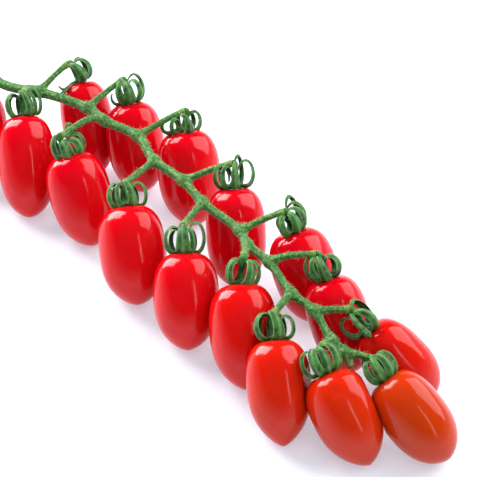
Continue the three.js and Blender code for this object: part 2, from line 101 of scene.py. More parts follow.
# The sepals of each calyx, in the order of the fruits. A sepal runs out over the fruit's shoulder and then
# rises in a loop. It has the way it faces round the calyx in degrees, 0 to the left and 90 to the front,
# how far out the loop stands, the loop's half width and half height, how far round it goes in degrees, its
# greatest width, how far its tip sways sideways and how many degrees it twists. Three at the back that the
# calyces share come first.
BACK_RIGHT = (232, 4, 3.2, 4.8, 220, 4, 0, 0)
BACK = (278, 4, 3.2, 4.8, 220, 4, 0, 0)
BACK_LEFT = (322, 4, 3.2, 4.8, 220, 3.6, 0, 0)
FIRST_CALYX = (
    (18, 4, 3.6, 5.2, 250, 5.8, 0, 25), (112, 4.4, 3.2, 5.4, 205, 4.8, -2.6, 0),
    (150, 3.6, 2.6, 4.8, 230, 3, 0, 0), (181, 5.2, 2.8, 5.7, 250, 2.8, 0, 0),
    BACK_RIGHT, BACK, BACK_LEFT,
)
SEPALS = (
    FIRST_CALYX,
    FIRST_CALYX,
    ((14, 4.5, 3.5, 5.3, 250, 5.4, 0, 25), (58, 4.8, 3.8, 4.3, 305, 6.4, -0.8, 0),
     (104, 4.8, 3.8, 4, 300, 6.6, -1.4, 0), (146, 4.3, 3.6, 4.4, 260, 5, 0, 0),
     (196, 5.6, 3.6, 6.1, 265, 2.8, 0, 0), BACK),
    ((14, 4.3, 3.6, 5.1, 250, 5.8, 0, 25), (52, 4.4, 3, 4.9, 240, 3.2, 0, 0),
     (110, 4.8, 3.2, 5.3, 205, 5.2, -3, 0), (180, 4.8, 3.2, 4.9, 255, 3, 0, 0), BACK_RIGHT, BACK,
     BACK_LEFT),
    ((14, 4.2, 3.6, 5.3, 250, 5.2, 0, 22), (84, 4.4, 3.2, 5.6, 195, 7.4, 0.3, 0),
     (124, 3.8, 3, 5, 205, 3.6, -0.6, 0), (181, 4.8, 3.2, 6, 250, 3, 0, 0), BACK_RIGHT, BACK, BACK_LEFT),
    ((14, 2.3, 3.2, 5, 240, 6, 0, 12), (46, 3, 3, 4.6, 230, 4.2, 0, 0),
     (128, 4.7, 3.4, 4.9, 225, 5.4, 0, 0), (172, 4, 3.4, 4.9, 240, 4, 0, -10), BACK_RIGHT, BACK_LEFT),
    ((14, 3.8, 3.6, 5, 250, 5.8, 0, 22), (106, 3.6, 3.2, 5.2, 210, 5.8, -3, 0),
     (177, 4.4, 3, 4.3, 300, 2.6, 0, 0), BACK_RIGHT, BACK, BACK_LEFT),
    ((6, 4.8, 3.4, 4.8, 235, 2.4, 0, 0), (48, 3.8, 3.6, 4.8, 230, 5.2, 0, 0),
     (86, 3.4, 3.4, 5, 225, 4.8, -0.6, 0), (122, 3.8, 3.6, 5.1, 225, 4.8, 0.5, 0),
     (160, 3.8, 3.6, 5.2, 230, 4.8, 0, 0), BACK),
    ((16, 3.8, 3.4, 4.4, 230, 4.6, 0, 10), (54, 3.5, 3.5, 4.6, 225, 5, 0.4, 0),
     (94, 3.7, 3.6, 4.6, 225, 5.2, -0.5, 0), (132, 3.5, 3.5, 4.6, 225, 4.8, 0, 0),
     (170, 3.8, 3.4, 4.6, 230, 4.4, 0, -10), BACK),
    ((356, 15.5, 2, 2.4, 25, 3.2, 0, 20), (330, 7.5, 2, 3, 90, 2.8, 0, 0),
     (76, 3.4, 3.6, 4.8, 205, 6.4, -2, 0), (132, 3.6, 3.4, 4.6, 230, 4.8, 0, 0),
     (178, 3.6, 3.2, 4.7, 240, 4, 0, 0), BACK_RIGHT),
    ((348, 5, 2.6, 3, 140, 3.4, 0, 0), (38, 3.6, 3.6, 5, 240, 5.4, 0, 12),
     (82, 3.4, 3.6, 4.8, 235, 6.2, -1.2, 0), (132, 3.4, 3.6, 4.8, 235, 5.4, 0.8, 0),
     (192, 4.2, 3.8, 5.8, 230, 3.2, 0, 0), (305, 2.2, 2.4, 6.4, 130, 2.6, 0, 0)),
    ((6, 6.6, 3.4, 3.2, 310, 3.8, 0, 10), (38, 5.4, 2.8, 3.4, 300, 3, 0, 0),
     (108, 4.6, 3.2, 4.2, 205, 4.8, -3, 0), (182, 4.2, 2.9, 4.3, 320, 2.8, 0, 0),
     (225, 4, 3, 4, 240, 3.4, 0, 0), (290, 4, 3, 4, 240, 3.4, 0, 0)),
    ((8, 5, 3.2, 4.8, 300, 3.8, 0, 15), (40, 4, 2.8, 4.6, 280, 2.8, 0, 0),
     (90, 3.6, 3.2, 5.3, 195, 4.4, 0.4, 0), (179, 5, 3.2, 5.4, 255, 3.8, 0, 0),
     (222, 3, 2.6, 6.4, 240, 3, 0, 0), BACK_LEFT),
    ((30, 4.5, 3.8, 4.2, 300, 4.4, 0, 0), (78, 3.8, 3.8, 4.4, 240, 5.2, 0, 0),
     (120, 3.6, 3.6, 4.8, 230, 5.2, 0, 0), (160, 3.8, 3.6, 5.4, 230, 4.6, 0, 0),
     (200, 5, 4, 6.4, 250, 3.2, 0, 0), (292, 3, 2.6, 3.3, 220, 4, 0, 0)),
    ((16, 3.8, 3.4, 4.8, 250, 4.2, 0, 15), (58, 3.4, 3.4, 4.8, 220, 5, -1.2, 0),
     (138, 3, 3.4, 4.2, 330, 5.4, 0, -30), (186, 2.8, 2.8, 4, 250, 3.6, 0, 0), BACK, BACK_LEFT),
    ((34, 5, 4, 5.4, 260, 3, 0, 0), (84, 3.6, 4, 5, 250, 5.2, -1.5, 0),
     (184, 4.4, 3.8, 5.8, 230, 4.8, 0, 0), (225, 4, 3.6, 5.2, 230, 4, 0, 0),
     (300, 4, 3.2, 4.8, 220, 4, 0, 0)),
)
NUMBERS = tuple(f"{index + 1:02d}" for index in range(len(FRUITS)))

STEM_CUT_END = (-150, -17, 39.5)
STEM_BEND = (-116, -25.5, 38)
STEM_TIP = (96, -45, 25)
TRUSS_PLACE = np.array([5.0227, 32.8898, 0.0])  # from the table's own origin to the middle of the truss

# Fruit shape
SINK = 0.3  # depth pressed flat where a fruit touches the floor
WIDEST = 0.44  # where a fruit is widest, as a share of its length from the stem end
SHOULDER_POWER = 2.7
TIP_POWER_BLUNT = 3.0
TIP_POWER_LOSS = 0.8
TIP_ROOT_BLUNT = 0.5
TIP_ROOT_GAIN = 0.25
DIMPLE_DEPTH = 1.3
DIMPLE_RADIUS = 3.6
PRESS_REACH = 1.5  # room between two fruits under which they may press on each other
PRESS_GAP = 0.1  # room left between the skins where they do
RIPENESS_FALL = 0.25  # how much less ripe a fruit's tip is than its stem end
RIPENESS_PLACE = 0.35  # share of the length where a fruit has the ripeness in the table
FRUIT_RINGS = 84
FRUIT_SIDES = 96

# Stalk shape
STEM_RADIUS_CUT_END = 2.2
STEM_RADIUS_TIP = 1.35
STEM_SWELLING = 0.15  # how much thicker the stem is at a fork
STEM_SWELLING_SPREAD = 4.0
SIDE_STALK_RADIUS = 1.22
SIDE_STALK_LEVEL = 0.4  # share of its slope that a side stalk keeps where it comes into its knuckle
SIDE_STALK_RISE = 0.6  # usual arch
SIDE_STALK_START = 0.35  # reach of the curve's two inner points, as shares of the way
SIDE_STALK_FINISH = 0.3
SIDE_STALK_FLARE = 0.85
SIDE_STALK_FLARE_LENGTH = 2.5
KNUCKLE_SWELLING = 0.38
KNUCKLE_SPREAD = 1.6
PITH_SHARE = 0.75  # radius of the pale pith on the cut face, as a share of the stem's
BREAK_GROOVE = 0.25  # how much slimmer a joint is at its natural break
BREAK_WIDTH = 0.35
STEM_SIDES = 26
SIDE_STALK_SIDES = 20
STALK_RIB_COUNT = 5
STALK_WAVES = ((0.04, 5.0, 300), (0.03, 1.6, 301))  # height, length and seed of the stalk's unevenness

# Calyx shape
DISC_RADIUS = 2.9
DISC_HEIGHT = 2.0
NECK_DEPTH = 0.6
NECK_STRAIGHT = 5.0
NECK_BEND = 2.5
CALYX_UPRIGHTNESS = 2.0  # weight of the fruit's own axis against the way to the knuckle
SEPAL_THICKNESS = 1.1
SEPAL_THINNING = 0.35
SEPAL_TAPER = 0.55
SEPAL_TIP_POWER = 9
SEPAL_CROWDING = 0.85  # greatest half width near the root, as a share of the way out from the axis
SEPAL_ROOT_FULLNESS = 0.8
SEPAL_WIDEST = 0.2  # share of its length where a sepal is widest
SEPAL_TIP_HALF_WIDTH = 0.22
SEPAL_ROOT_RADIUS = 1.4
SEPAL_ROOT_HEIGHT = 0.1
SEPAL_FOOT = -0.35  # height of the lowest place of a sepal's loop above the pole of the fruit
SEPAL_TIP_ROUNDING = 0.7
SEPAL_ROOT_SHARE = 0.4  # share of a sepal where its neighbours crowd it
SEPAL_EDGE = 0.35  # thickness at the edge, as a share of that in the middle
LINE_WIDTH = 0.16  # spread of the midrib and the side veins, as a share of the half width
VEIN_PLACE = 0.55
VEIN_SHARE = 0.35  # depth of a side vein, as a share of the midrib's height
NECK_SIDES = 20

# Settling of the stalk's tubes on their grown-together surface
BLOCK = 3000  # points at a time, for the memory that they take
HIDDEN_WEBS = 1.3  # depth inside the surface from which a point counts as hidden: webs, plus a margin
HIDDEN_MARGIN = 0.5
LEAST_SLOPE = 0.2

# Hairs
HAIR_SPRAY = 0.35  # spread of the hairs' ways round the straight way out
SHORTEST_HAIR = 0.25  # as a share of the longest
HAIR_LENGTH_POWER = 2.2

UP = np.array([0.0, 0.0, 1.0])


# Small helpers


def linear(hex_colour):
    """An sRGB hex colour as linear red, green, blue and full alpha, by the sRGB curve."""
    channels = [int(hex_colour[place : place + 2], 16) / 255 for place in (1, 3, 5)]
    bent = [c / 12.92 if c <= 0.04045 else ((c + 0.055) / 1.055) ** 2.4 for c in channels]
    return (*bent, 1.0)


def add_node(tree, kind, inputs=(), **settings):
    """Adds a node: settings are its own, and inputs gives its sockets a value or a link each."""
    node = tree.nodes.new(kind)
    for name, value in settings.items():
        setattr(node, name, value)
    for name, value in dict(inputs).items():
        if isinstance(value, bpy.types.NodeSocket):
            tree.links.new(value, node.inputs[name])
        else:
            node.inputs[name].default_value = value
    return node


def unit(vectors):
    """Each vector at length one."""
    vectors = np.asarray(vectors, float)
    return vectors / np.linalg.norm(vectors, axis=-1, keepdims=True)


def ripple(points, size, seed):
    """Smooth unevenness from about -1 to 1: the mean of eight plane waves about size long, turned at
    random, scaled up so that their usual height is one half."""
    rng = np.random.default_rng(seed)
    ways = unit(rng.normal(size=(8, 3))) * (2 * np.pi / (size * rng.uniform(0.7, 1.4, (8, 1))))
    phases = rng.uniform(0, 2 * np.pi, 8)
    return np.sin(points @ ways.T + phases).sum(axis=-1) / 4


def directions_around(up):
    """Left along the floor, and front, square to a leaning axis and to each other."""
    left = unit(np.cross(UP, up))
    return left, np.cross(up, left)


def bezier(first, second, third, last, count):
    """A cubic curve: the four points weighted by the cubic Bernstein shares of t."""
    t = np.linspace(0, 1, count)[:, None]
    return (
        (1 - t) ** 3 * np.asarray(first)
        + 3 * (1 - t) ** 2 * t * np.asarray(second)
        + 3 * (1 - t) * t**2 * np.asarray(third)
        + t**3 * np.asarray(last)
    )


def even_steps(line, count):
    """The same line with its points an equal run apart, by its running length, and that length."""
    run = np.concatenate([[0.0], np.cumsum(np.linalg.norm(np.diff(line, axis=0), axis=1))])
    wanted = np.linspace(0, run[-1], count)
    return np.stack([np.interp(wanted, run, line[:, axis]) for axis in range(3)], axis=1), wanted


def frames_along(line):
    """Two directions square to a line at each of its points, carried along it with no twist: each pair is
    the last one with the part that lies along the new heading taken out."""
    tangents = unit(np.gradient(line, axis=0))
    across = np.empty_like(line)
    helper = UP if abs(tangents[0] @ UP) < 0.9 else np.array([1.0, 0.0, 0.0])
    last = np.cross(helper, tangents[0])
    for index, tangent in enumerate(tangents):
        last = unit(last - tangent * (last @ tangent))
        across[index] = last
    return across, np.cross(tangents, across)


def ring_quads(rings, sides, first=0):
    """The corner numbers of the quads between neighbouring closed rings of vertices."""
    ring, side = np.meshgrid(np.arange(rings - 1), np.arange(sides), indexing="ij")
    after = (side + 1) % sides
    near, far = ring * sides, (ring + 1) * sides
    return first + np.stack([near + side, near + after, far + after, far + side], axis=-1).reshape(-1, 4)


def fan(ring, middle, outwards):
    """Triangles from a closed ring of vertex numbers to one in its middle."""
    after = np.roll(ring, -1)
    pair = [ring, after] if outwards else [after, ring]
    return np.stack([*pair, np.full_like(ring, middle)], axis=-1)


class Surface:
    """Vertices, faces and per-vertex values of one piece, collected part by part."""

    def __init__(self):
        self.points, self.quads, self.triangles, self.values = [], [], [], {}
        self.count = 0

    def add_tube(self, points, **values):
        """Adds a closed tube: points is rings by sides by three, and its first and last rings are closed
        by a fan to the middle of each. Values are one number for each point."""
        rings, sides = points.shape[:2]
        first = self.count
        ends = np.stack([points[0].mean(axis=0), points[-1].mean(axis=0)])
        self.points.append(np.concatenate([points.reshape(-1, 3), ends]))
        self.quads.append(ring_quads(rings, sides, first))
        start = first + np.arange(sides)
        finish = first + (rings - 1) * sides + np.arange(sides)
        self.triangles.append(fan(start, first + rings * sides, outwards=False))
        self.triangles.append(fan(finish, first + rings * sides + 1, outwards=True))
        for name, value in values.items():
            value = np.broadcast_to(value, (rings, sides))
            tail = [value[0].mean(), value[-1].mean()]
            self.values.setdefault(name, []).append(np.concatenate([value.ravel(), tail]))
        self.count += rings * sides + 2

    def write(self, name, material):
        """Makes the object: its mesh in metres, its values as attributes, smooth, with one material."""
        points = np.concatenate(self.points) * MM
        corners = [part for part in (self.quads, self.triangles) if part]
        corners = [np.concatenate(part) for part in corners]
        sizes = np.concatenate([np.full(len(part), part.shape[1]) for part in corners])
        mesh = bpy.data.meshes.new(name)
        mesh.vertices.add(len(points))
        mesh.vertices.foreach_set("co", points.astype(np.float32).ravel())
        mesh.loops.add(int(sizes.sum()))
        numbers = np.concatenate([part.ravel() for part in corners])
        mesh.loops.foreach_set("vertex_index", numbers.astype(np.int32))
        mesh.polygons.add(len(sizes))
        starts = np.concatenate([[0], np.cumsum(sizes)[:-1]])
        mesh.polygons.foreach_set("loop_start", starts.astype(np.int32))
        mesh.update(calc_edges=True)
        mesh.polygons.foreach_set("use_smooth", np.ones(len(sizes), bool))
        for value_name, parts in self.values.items():
            attribute = mesh.attributes.new(value_name, "FLOAT", "POINT")
            attribute.data.foreach_set("value", np.concatenate(parts).astype(np.float32))
        if mesh.validate():
            raise RuntimeError(f"{name} has broken faces")
        mesh.materials.append(material)
        piece = bpy.data.objects.new(name, mesh)
        bpy.context.scene.collection.objects.link(piece)
        return piece


# Fruit shape


def axis_of(fruit):
    """The direction from the stem end to the tip, by its heading and dip."""
    heading, dip = np.radians([fruit["heading"], fruit["dip"]])
    return np.array([np.cos(heading) * np.cos(dip), np.sin(heading) * np.cos(dip), -np.sin(dip)])


def half_width(fruit, share):
    """Half the width at a share of the length from the stem end: a blunt super-ellipse above the widest
    place, and below it one less a power of the way to the tip, raised to a root that grows with its point."""
    above = np.clip((WIDEST - share) / WIDEST, 0, 1)
    below = np.clip((share - WIDEST) / (1 - WIDEST), 0, 1)
    shoulder = (1 - above**SHOULDER_POWER) ** (1 / SHOULDER_POWER)
    power = TIP_POWER_BLUNT - TIP_POWER_LOSS * fruit["point"]
    root = TIP_ROOT_BLUNT + TIP_ROOT_GAIN * fruit["point"]
    return fruit["wide"] / 2 * np.where(share < WIDEST, shoulder, (1 - below**power) ** root)


def fruit_surface(fruit, index, settings):
    """A fruit as it lies. Its rings follow the cosine of the way along it, so they crowd at both ends. A
    ring's radius is the half width, times one plus a few lobes that fade towards the tip and a slow
    unevenness, and the stem end sinks by a bell-shaped hollow. It's turned to its heading and dip, set
    down, and pressed flat where it would go below the floor."""
    way = np.linspace(0, np.pi, FRUIT_RINGS + 1)[1:-1, None]
    share = (1 - np.cos(way)) / 2
    around = np.linspace(0, 2 * np.pi, FRUIT_SIDES, endpoint=False)[None, :]
    rng = np.random.default_rng(100 + index)
    phase, count = rng.uniform(0, 2 * np.pi), rng.integers(3, 6)
    lobes = settings.lobes * np.sin(count * around + phase) * (1 - share) ** 1.5
    plain = np.stack(np.broadcast_arrays(np.cos(around), np.sin(around), 3 * share), axis=-1)
    radius = half_width(fruit, share) * (1 + lobes + settings.unevenness * ripple(plain, 2.4, 200 + index))
    hollow = DIMPLE_DEPTH * np.exp(-((radius / DIMPLE_RADIUS) ** 2)) * (share < WIDEST)
    rise = fruit["long"] * (0.5 - share) - hollow
    for place, facing, depth, size in fruit.get("dents", ()):
        along = fruit["long"] * (share - place)
        beside = radius * ((around - np.radians(facing) + np.pi) % (2 * np.pi) - np.pi)
        radius = radius - depth * np.exp(-(along**2 + beside**2) / size**2)
    up = -axis_of(fruit)
    left, front = directions_around(up)
    body = (
        left * (radius * np.cos(around))[..., None]
        + front * (radius * np.sin(around))[..., None]
        + up * (rise + 0 * around)[..., None]
    )
    middle = np.array([fruit["x"], fruit["y"], -SINK - body[..., 2].min()])
    body = body + middle
    body[..., 2] = np.maximum(body[..., 2], 0)
    return body, share + 0 * around, middle


def pressed_apart(laid):
    """The laid fruits, with flats where two neighbours press on each other. Of the points along both middle
    axes, the pair with the least room between their rings gives a plane, square to the line between them and
    halfway through the crossing. What lies past the plane on either side is set back onto it."""
    shares = np.linspace(0.1, 0.9, 41)
    radii = [half_width(fruit, shares) for fruit in FRUITS]
    lines = [
        middle + axis_of(fruit) * (fruit["long"] * (shares - 0.5))[:, None]
        for fruit, (_, _, middle) in zip(FRUITS, laid)
    ]
    bodies = [body for body, _, _ in laid]
    for first, second in itertools.combinations(range(len(FRUITS)), 2):
        between = lines[second][None, :] - lines[first][:, None]
        room = np.linalg.norm(between, axis=-1) - radii[first][:, None] - radii[second][None, :]
        i, j = np.unravel_index(room.argmin(), room.shape)
        if room[i, j] > PRESS_REACH:
            continue
        across = unit(between[i, j])
        place = lines[first][i] + across * (radii[first][i] + room[i, j] / 2)
        for index, way in ((first, across), (second, -across)):
            past = np.maximum((bodies[index] - place) @ way + PRESS_GAP / 2, 0)
            bodies[index] = bodies[index] - way * past[..., None]
    return [(body, share, middle) for body, (_, share, middle) in zip(bodies, laid)]


# Stalk shape


def stem_line():
    """The stem's middle line through its cut end, forks and tip: centripetal cubic pieces, whose slopes at
    each point come from the spans on both sides, weighted by the square root of their lengths."""
    points = sorted([STEM_CUT_END, STEM_BEND, STEM_TIP, *(fruit["fork"] for fruit in FRUITS)])
    points = np.array(points, float)
    points = np.concatenate([[2 * points[0] - points[1]], points, [2 * points[-1] - points[-2]]])
    steps = np.sqrt(np.linalg.norm(np.diff(points, axis=0), axis=1))
    t = np.linspace(0, 1, 30, endpoint=False)[:, None]
    pieces = []
    for before, start, end, after, (a, b, c) in zip(
        points, points[1:], points[2:], points[3:], zip(steps, steps[1:], steps[2:])
    ):
        leave = b * ((start - before) / a - (end - before) / (a + b) + (end - start) / b)
        arrive = b * ((end - start) / b - (after - start) / (b + c) + (after - end) / c)
        pieces.append(
            start + leave * t + (3 * (end - start) - 2 * leave - arrive) * t**2
            + (2 * (start - end) + leave + arrive) * t**3
        )
    pieces.append(points[-2:-1])
    return np.concatenate(pieces)


def arrival_of(fruit):
    """The way a side stalk comes into its knuckle: along the line from the fork, but nearer to level."""
    way = np.subtract(fruit["knuckle"], fruit["fork"]).astype(float)
    way[2] *= SIDE_STALK_LEVEL
    return unit(way)


def stem_bar():
    """The stem's line and radius: the radius falls evenly from the cut end to the tip, and swells by a
    bell at each fork."""
    line, run = even_steps(stem_line(), 620)
    share = (line[:, 0] - STEM_CUT_END[0]) / (STEM_TIP[0] - STEM_CUT_END[0])
    plain = STEM_RADIUS_CUT_END + (STEM_RADIUS_TIP - STEM_RADIUS_CUT_END) * share
    forks = np.array([fruit["fork"] for fruit in FRUITS])
    nearest = np.linalg.norm(line[:, None] - forks, axis=2).min(axis=1)
    swelling = STEM_SWELLING * np.exp(-((nearest / STEM_SWELLING_SPREAD) ** 2)) * (1 - share / 2)
    return line, run, plain + swelling


def side_stalk_bar(fruit):
    """A side stalk's line and radius: a cubic curve from the fork to the knuckle, flared at the fork by a
    falling exponential and swollen at the knuckle by a bell, with a groove at the very end."""
    fork, knuckle = np.array(fruit["fork"], float), np.array(fruit["knuckle"], float)
    way, arrival = knuckle - fork, arrival_of(fruit)
    rise = fork + way * SIDE_STALK_START + UP * fruit.get("lift", SIDE_STALK_RISE)
    finish = knuckle - arrival * SIDE_STALK_FINISH * np.linalg.norm(way)
    line, run = even_steps(bezier(fork, rise, finish, knuckle, 200), 72)
    left = run[-1] - run
    flare = SIDE_STALK_FLARE * np.exp(-run / SIDE_STALK_FLARE_LENGTH)
    swelling = KNUCKLE_SWELLING * np.exp(-((left / KNUCKLE_SPREAD) ** 2))
    groove = BREAK_GROOVE * np.exp(-((left / BREAK_WIDTH) ** 2))
    return line, run, SIDE_STALK_RADIUS + flare + swelling - groove


def tube(line, radius, sides):
    """Rings of vertices round a line."""
    across, out = frames_along(line)
    around = np.linspace(0, 2 * np.pi, sides, endpoint=False)
    ring = across[:, None] * np.cos(around)[None, :, None] + out[:, None] * np.sin(around)[None, :, None]
    return line[:, None] + ring * radius[:, None, None], around


def grown_together(points, bars, softness):
    """How far points are outside the bars as grown into one, and the way out there: the distances to the
    bars' surfaces merge as minus softness times the log of the sum of exp(-distance / softness), which
    fills the corner between two bars with a web, and the ways out are mixed by the same shares."""
    distances, ways = [], []
    for line, _, radius in bars:
        gaps = points[:, None] - line[None]
        lengths = np.linalg.norm(gaps, axis=2)
        nearest = (lengths - radius[None]).argmin(axis=1)
        rows = np.arange(len(points))
        length = np.maximum(lengths[rows, nearest], 1e-6)
        distances.append(length - radius[nearest])
        ways.append(gaps[rows, nearest] / length[:, None])
    distances, ways = np.array(distances), np.array(ways)
    least = distances.min(axis=0)
    shares = np.exp(-(distances - least) / softness)
    total = shares.sum(axis=0)
    way = (ways * (shares / total)[..., None]).sum(axis=0)
    return least - softness * np.log(total), way


def settle(points, bars, softness, rounds=4):
    """Moves points onto the surface of the bars as grown into one, by Newton's steps along the way out.
    Points deep inside another bar stay, since that bar's own surface covers them."""
    points = points.copy()
    hidden = np.zeros(len(points), bool)
    for step in range(rounds):
        for start in range(0, len(points), BLOCK):
            block = slice(start, start + BLOCK)
            distance, way = grown_together(points[block], bars, softness)
            if step == 0:
                hidden[block] = distance < -HIDDEN_WEBS * softness - HIDDEN_MARGIN
            move = way * (distance / np.maximum((way**2).sum(axis=1), LEAST_SLOPE))[:, None]
            points[block] -= np.where(hidden[block][:, None], 0, move)
    return points, hidden


# Calyx shape


def neck_bar(fruit, pole, up):
    """The neck's line and radius: a cubic curve from the dimple up along the calyx and over into the
    knuckle, wide at the disc by a bell and swollen at the knuckle by another."""
    knuckle, arrival = np.array(fruit["knuckle"], float), arrival_of(fruit)
    line = bezier(
        pole - up * NECK_DEPTH, pole + up * NECK_STRAIGHT, knuckle + arrival * NECK_BEND, knuckle, 160
    )
    line, run = even_steps(line, 56)
    left = run[-1] - run
    disc = (DISC_RADIUS - SIDE_STALK_RADIUS) * np.exp(-((run / DISC_HEIGHT) ** 2))
    swelling = KNUCKLE_SWELLING * np.exp(-((left / KNUCKLE_SPREAD) ** 2))
    groove = BREAK_GROOVE * np.exp(-((left / BREAK_WIDTH) ** 2))
    return line, SIDE_STALK_RADIUS + disc + swelling - groove


def sepal_blade(pole, up, left, front, sepal, foot, settings, steps=46, sides=22):
    """One sepal: a lens-shaped section carried along a line that runs out from the disc, a little downhill,
    and goes round in an ellipse. Its width opens to the widest place, falls evenly and rounds off at the tip
    by a power curve, and its edges roll in by the square of the way across. A rib and two side veins run
    along its outer face as bells, and it twists and sways by the square of the share. It comes with three
    values for each point: how far across it lies, its share of the length, and whether it's on the outer
    face."""
    facing, stand, loop_out, loop_up, round_by, width, sway, twist = sepal
    facing, round_by, twist = np.radians([facing, round_by, twist])
    radial = left * np.cos(facing) + front * np.sin(facing)
    sideways = np.cross(up, radial)
    turn = np.linspace(0, round_by, 240)
    out = stand + loop_out * np.sin(turn)
    height = foot + loop_up * (1 - np.cos(turn))
    run = np.linspace(0, 1, 30)[:-1]
    out = np.concatenate([SEPAL_ROOT_RADIUS + (stand - SEPAL_ROOT_RADIUS) * run, out])
    height = np.concatenate([SEPAL_ROOT_HEIGHT + (foot - SEPAL_ROOT_HEIGHT) * run, height])
    flat, run = even_steps(np.stack([out, height, 0 * out], axis=1), steps + 1)
    share = run / run[-1]
    heading = unit(np.gradient(flat, axis=0))
    opening = SEPAL_ROOT_FULLNESS + (1 - SEPAL_ROOT_FULLNESS) * np.minimum(1, share / SEPAL_WIDEST)
    fullness = opening * (1 - SEPAL_TAPER * share) * (1 - share**SEPAL_TIP_POWER) ** SEPAL_TIP_ROUNDING
    half = np.maximum(SEPAL_TIP_HALF_WIDTH, width / 2 * fullness)
    half = np.where(share < SEPAL_ROOT_SHARE, np.minimum(half, SEPAL_CROWDING * flat[:, 0]), half)
    flat_out = radial * heading[:, 1:2] - up * heading[:, 0:1]
    turned = (twist * share**2)[:, None]
    across = sideways * np.cos(turned) + flat_out * np.sin(turned)
    facing_out = flat_out * np.cos(turned) - sideways * np.sin(turned)
    line = pole + radial * flat[:, 0:1] + up * flat[:, 1:2] + sideways * (sway * share**2)[:, None]
    thick = SEPAL_THICKNESS / 2 * (1 - SEPAL_THINNING * share)
    around = np.linspace(0, 2 * np.pi, sides, endpoint=False)
    x, y = np.cos(around)[None, :], np.sin(around)[None, :]
    fading = (y > 0) * (1 - share[:, None])
    rib = settings.rib * np.exp(-((x / LINE_WIDTH) ** 2)) * fading
    veins = VEIN_SHARE * settings.rib * np.exp(-(((np.abs(x) - VEIN_PLACE) / LINE_WIDTH) ** 2)) * fading
    bulge = y * (SEPAL_EDGE + (1 - SEPAL_EDGE) * (1 - x**2)) * thick[:, None]
    depth = bulge + rib - veins - x**2 * (settings.roll * fullness)[:, None]
    wide = x * half[:, None]
    points = line[:, None] + across[:, None] * wide[..., None] + facing_out[:, None] * depth[..., None]
    x, share, outer = np.broadcast_arrays(x, share[:, None], y > 0)
    return points, x, share, outer


# Materials


def new_material(name):
    """A material and its node tree, which is empty."""
    material = bpy.data.materials.new(name)
    material.use_nodes = True
    material.node_tree.nodes.clear()
    return material, material.node_tree


def object_place(tree):
    """The place in the object, in metres."""
    return add_node(tree, "ShaderNodeTexCoord").outputs["Object"]


def attribute(tree, name):
    """A value that the mesh carries at each point."""
    return add_node(tree, "ShaderNodeAttribute", attribute_name=name).outputs["Fac"]


def noise(tree, place, scale, detail, roughness=0.5):
    """Cloudy noise from 0 to 1; scale is how many blotches there are in a metre."""
    inputs = {"Vector": place, "Scale": scale, "Detail": detail, "Roughness": roughness}
    return add_node(tree, "ShaderNodeTexNoise", inputs).outputs["Fac"]


def spread(tree, value, low, high, to_low, to_high):
    """The value with its range from low to high stretched to another range, and held there."""
    inputs = {"Value": value, "From Min": low, "From Max": high, "To Min": to_low, "To Max": to_high}
    return add_node(tree, "ShaderNodeMapRange", inputs).outputs["Result"]


def blended(tree, share, first, second):
    """The first colour, with a share of the second."""
    inputs = {"Factor": share, "A": first, "B": second}
    return add_node(tree, "ShaderNodeMix", inputs, data_type="RGBA").outputs["Result"]


def ramp(tree, value, first, last, *between):
    """A colour for each value; each stop has its value and its colour."""
    node = add_node(tree, "ShaderNodeValToRGB", {"Fac": value})
    stops = node.color_ramp.elements
    stops[0].position, stops[0].color = first
    stops[1].position, stops[1].color = last
    for position, colour in between:
        stops.new(position).color = colour
    return node.outputs["Color"]


def bumped(tree, height, strength, distance):
    """The surface's direction with a fine relief."""
    inputs = {"Strength": strength, "Distance": distance, "Height": height}
    return add_node(tree, "ShaderNodeBump", inputs).outputs["Normal"]


def finish_material(tree, inputs):
    """Adds the shader and the output."""
    shader = add_node(tree, "ShaderNodeBsdfPrincipled", inputs)
    add_node(tree, "ShaderNodeOutputMaterial", {"Surface": shader.outputs["BSDF"]})


def opaque(colour):
    """A colour setting with full alpha."""
    return (*colour, 1)


def skin_material(settings):
    """Ripe tomato skin: a thin waxy cuticle over red flesh. It's glossy with soft edges to its lights, lets
    some light in, and runs from orange to deep red with the ripeness, a little mottled. Pale pores dot it,
    and a brown scar marks its blossom end."""
    material, tree = new_material("waxy tomato skin")
    place = object_place(tree)
    mottle = spread(tree, noise(tree, place, 90.0, 3.0), 0.3, 0.7, -0.06, 0.06)
    level = add_node(
        tree, "ShaderNodeMath", {0: attribute(tree, "ripeness"), 1: mottle},
        operation="ADD", use_clamp=True,
    ).outputs["Value"]
    colour = ramp(
        tree, level, (0.0, opaque(settings.orange)), (1.0, opaque(settings.deep_red)),
        (0.55, opaque(settings.red)),
    )
    pores = add_node(tree, "ShaderNodeTexVoronoi", {"Vector": place, "Scale": 1100.0}, feature="F1")
    dots = spread(tree, pores.outputs["Distance"], 0.0, 0.2, 0.1, 0.0)
    colour = blended(tree, dots, colour, linear("#f0562f"))
    scar = spread(tree, attribute(tree, "share"), 0.9975, 0.9995, 0.0, 0.85)
    colour = blended(tree, scar, colour, linear("#5d4026"))
    uneven = noise(tree, place, 160.0, 2.0)
    finish_material(tree, {
        "Base Color": colour, "Roughness": spread(tree, uneven, 0.3, 0.7, 0.1, 0.16), "IOR": 1.35,
        "Subsurface Weight": 0.08, "Subsurface Radius": (1.0, 0.1, 0.05), "Subsurface Scale": 0.003,
        "Normal": bumped(tree, uneven, 0.15, 0.0006),
    })
    return material


